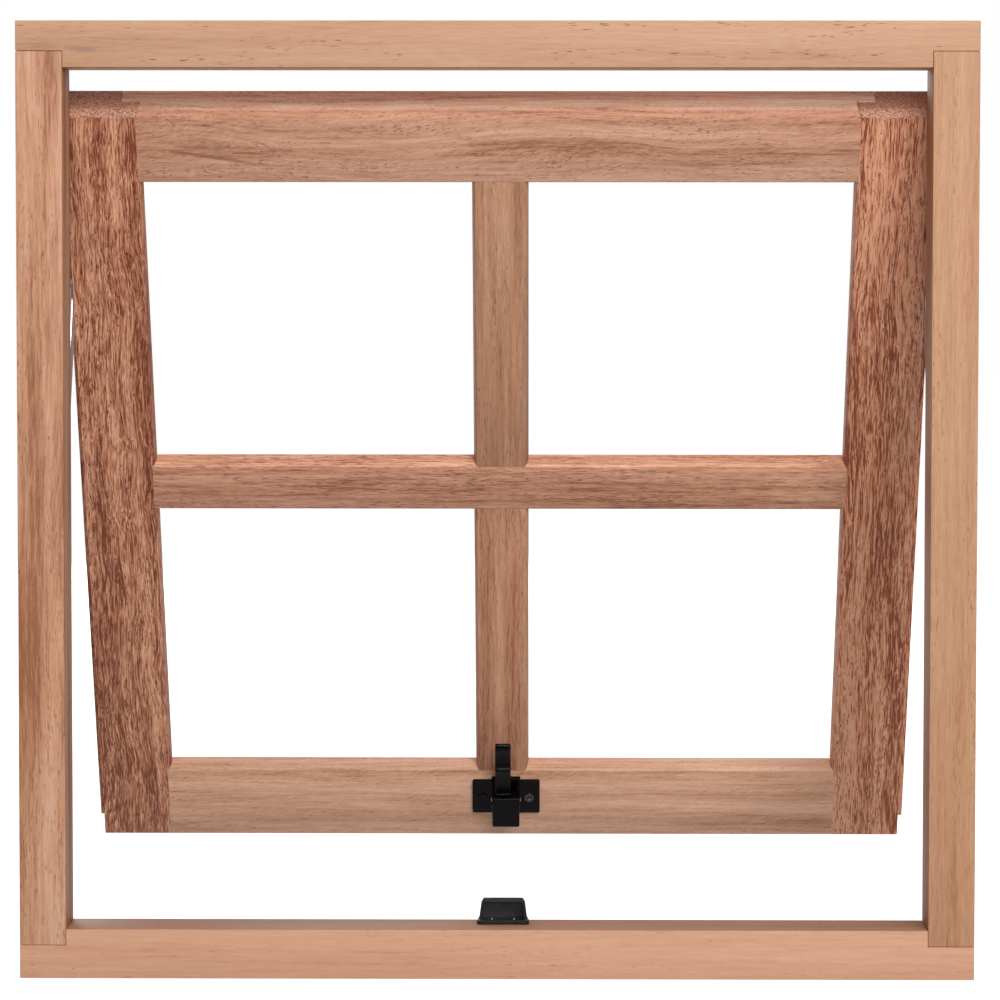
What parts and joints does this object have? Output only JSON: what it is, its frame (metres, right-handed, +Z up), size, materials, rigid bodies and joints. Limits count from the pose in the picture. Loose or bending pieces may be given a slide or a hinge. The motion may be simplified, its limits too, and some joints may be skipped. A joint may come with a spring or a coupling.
{
  "type": "timber window",
  "caption": "Timber window frame with a four-pane top-hung sash that projects outwards on two sliding side stays, and a black lever latch with its keeper.",
  "frame": {"origin": "middle of the sill's underside", "axes": "+Z up, +Y to the outside, +X to the right seen from the room"},
  "size_m": [0.6, 0.3181, 0.6],
  "materials": {
    "head_timber": "planed hardwood, unfinished, straight grain",
    "sill_timber": "planed hardwood, unfinished, straight grain",
    "jamb_timber": "planed hardwood, unfinished, straight grain",
    "sash_timber": "planed open-pored reddish-brown hardwood, dry",
    "top_rail_timber": "planed hardwood with interlocked grain, dry",
    "bottom_rail_timber": "planed hardwood, dry",
    "stay_aluminium": "mill finish",
    "rivet_steel": "satin",
    "zinc_steel": "yellow zinc plated",
    "black_nylon": "moulded nylon",
    "black_iron": "satin black on a casting"
  },
  "bodies": {
    "root": {"frame_head": "head_timber", "frame_sill": "sill_timber", "frame_jamb_left": "jamb_timber", "frame_jamb_right": "jamb_timber", "head_screw_left_room": "zinc_steel", "head_screw_left_outer": "zinc_steel", "head_screw_right_room": "zinc_steel", "head_screw_right_outer": "zinc_steel", "sill_screw_left_room": "zinc_steel", "sill_screw_left_outer": "zinc_steel", "sill_screw_right_room": "zinc_steel", "sill_screw_right_outer": "zinc_steel", "stay_track_left": "stay_aluminium", "track_screw_left_1": "zinc_steel", "track_screw_left_2": "zinc_steel", "track_screw_left_3": "zinc_steel", "frame_pivot_left": "rivet_steel", "stay_track_right": "stay_aluminium", "track_screw_right_1": "zinc_steel", "track_screw_right_2": "zinc_steel", "track_screw_right_3": "zinc_steel", "frame_pivot_right": "rivet_steel", "latch_keeper": "black_iron", "keeper_screw_left": "black_iron", "keeper_screw_right": "black_iron"},
    "sash": {"sash_stile_left": "sash_timber", "sash_stile_right": "sash_timber", "glazing_bar_middle": "sash_timber", "glazing_bar_upper": "sash_timber", "glazing_bar_lower": "sash_timber", "sash_top_rail": "top_rail_timber", "sash_bottom_rail": "bottom_rail_timber", "stay_bar_left": "stay_aluminium", "bar_screw_left_1": "zinc_steel", "bar_screw_left_2": "zinc_steel", "bar_screw_left_3": "zinc_steel", "shoe_pivot_left": "rivet_steel", "arm_pivot_left": "rivet_steel", "stay_bar_right": "stay_aluminium", "bar_screw_right_1": "zinc_steel", "bar_screw_right_2": "zinc_steel", "bar_screw_right_3": "zinc_steel", "shoe_pivot_right": "rivet_steel", "arm_pivot_right": "rivet_steel", "latch_bracket": "black_iron", "latch_screw_left": "black_iron", "latch_screw_right": "black_iron", "latch_pin": "zinc_steel"},
    "arms": {"stay_arm_left": "stay_aluminium", "stay_arm_right": "stay_aluminium"},
    "shoes": {"stay_shoe_left": "black_nylon", "stay_shoe_right": "black_nylon"},
    "latch_lever": {"latch_lever": "black_iron"}
  },
  "joints": [
    {"name": "sash_opening", "type": "hinge", "parent": "root", "child": "arms", "pos_m": [0, 0.0178, 0.3203], "axis": [-1, 0, 0], "range_deg": [-26.8, 20]},
    {"name": "sash_on_arms", "type": "hinge", "parent": "arms", "child": "sash", "pos_m": [0, 0.07416, 0.43187], "axis": [-1, 0, 0], "range_deg": [-40, 53.6]},
    {"name": "shoes_on_sash", "type": "hinge", "parent": "sash", "child": "shoes", "pos_m": [0, 0.0178, 0.54345], "axis": [-1, 0, 0], "range_deg": [-26.8, 20]},
    {"name": "latch_turn", "type": "hinge", "parent": "sash", "child": "latch_lever", "pos_m": [0.0038, 0.22609, 0.08009], "axis": [1, 0, 0], "range_deg": [0, 30]}
  ],
  "couplings": [
    {"joint": "sash_on_arms", "follows": "sash_opening", "ratio": -2},
    {"joint": "shoes_on_sash", "follows": "sash_opening", "ratio": 1}
  ]
}
